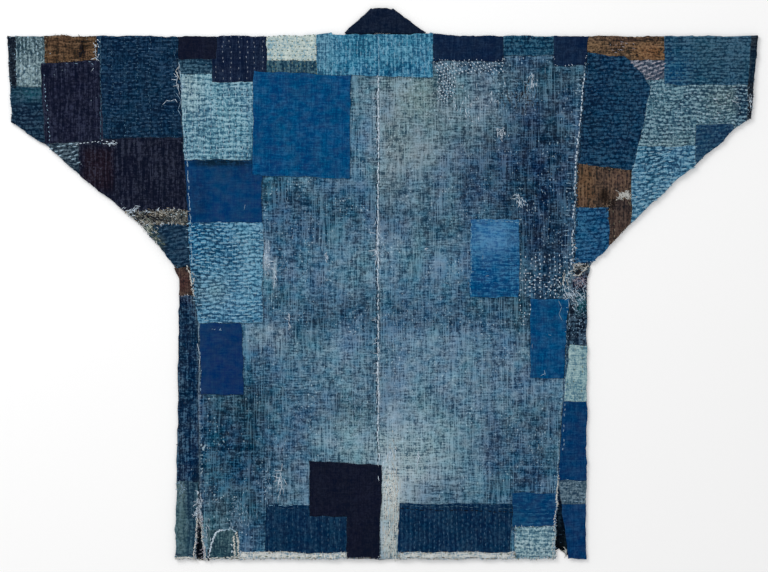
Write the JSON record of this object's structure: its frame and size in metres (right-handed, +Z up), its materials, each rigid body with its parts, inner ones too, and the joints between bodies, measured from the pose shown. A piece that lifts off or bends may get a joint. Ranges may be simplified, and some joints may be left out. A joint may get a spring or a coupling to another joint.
{
  "type": "patched boro work jacket",
  "caption": "Short T-shaped Japanese work jacket of patched and quilted indigo cotton, laid flat on its front with the back, wide sleeves and collar band showing.",
  "frame": {"origin": "on the surface the jacket lies on, under the middle of its outline from hem to collar and cuff to cuff", "axes": "+X across the back from the left cuff to the right cuff as seen, +Y from the hem up to the collar, +Z up from the surface through the cloth to the back"},
  "size_m": [1.221, 0.8969, 0.0066],
  "materials": {
    "faded_indigo": "matt hand-woven cotton, indigo faded unevenly to grey-blue, slubbed and worn pale along seams",
    "collar_black": "matt very dark indigo cotton, folded double and stitched through",
    "near_black": "matt, almost black indigo and iron-dyed cotton with faint darning",
    "navy": "matt dark indigo cotton quilted with rows of running stitch",
    "mid_blue": "matt mid indigo cotton, some quilted, some plain",
    "bright_blue": "matt bright indigo cotton of even colour",
    "sky": "matt pale indigo cotton with streaks and wavy stitch rows",
    "pale_teal": "matt grey-green cotton washed almost white, with dark stitches",
    "brown": "matt tobacco-brown tannin-dyed cotton, worn thin",
    "cream": "matt undyed cotton, frayed"
  },
  "bodies": {
    "root": {"back_left": "faded_indigo", "back_right": "faded_indigo", "front_left": "faded_indigo", "front_right": "faded_indigo", "sleeve_left": "faded_indigo", "sleeve_right": "faded_indigo", "collar": "collar_black", "cuff_band_left": "near_black", "sleeve_left_plum": "near_black", "sleeve_left_pale_teal": "pale_teal", "sleeve_left_brown": "brown", "sleeve_left_pale_dashes": "pale_teal", "sleeve_left_cuff_navy": "navy", "sleeve_left_black": "near_black", "sleeve_left_grid_navy": "navy", "sleeve_left_frayed_band": "cream", "sleeve_left_underarm_blue": "mid_blue", "sleeve_right_navy_rows": "navy", "cuff_band_right": "near_black", "sleeve_right_brown": "brown", "sleeve_right_pale_pink": "pale_teal", "sleeve_right_teal": "mid_blue", "sleeve_right_dark_teal": "mid_blue", "sleeve_right_grey_teal": "pale_teal", "sleeve_right_wavy_blue": "sky", "sleeve_right_dark_brown": "brown", "sleeve_right_tobacco": "brown", "sleeve_right_underarm_blue": "mid_blue", "hem_binding_left": "cream", "hem_binding_right": "cream", "hem_left_mend": "pale_teal", "hem_black": "near_black", "hem_left_rows": "navy", "hem_right_rows": "navy", "hem_right_mid_blue": "mid_blue", "hem_right_pale": "pale_teal", "back_left_royal": "mid_blue", "neck_sky": "sky", "back_left_bright_block": "bright_blue", "shoulder_cream": "cream", "shoulder_green_strip": "mid_blue", "shoulder_left_black": "near_black", "shoulder_left_navy_rows": "navy", "shoulder_left_steel": "mid_blue", "back_left_sky_rows": "sky", "back_left_mid_blue": "mid_blue", "back_left_wavy_sky": "sky", "shoulder_right_black": "navy", "shoulder_right_teal": "mid_blue", "shoulder_right_dark": "navy", "back_right_bright_upper": "bright_blue", "back_right_bright_lower": "bright_blue", "side_left_brown": "brown", "side_left_teal": "mid_blue", "side_right_pale": "pale_teal", "side_right_navy": "navy", "side_right_grey": "pale_teal", "side_right_blue": "mid_blue"}
  },
  "joints": []
}
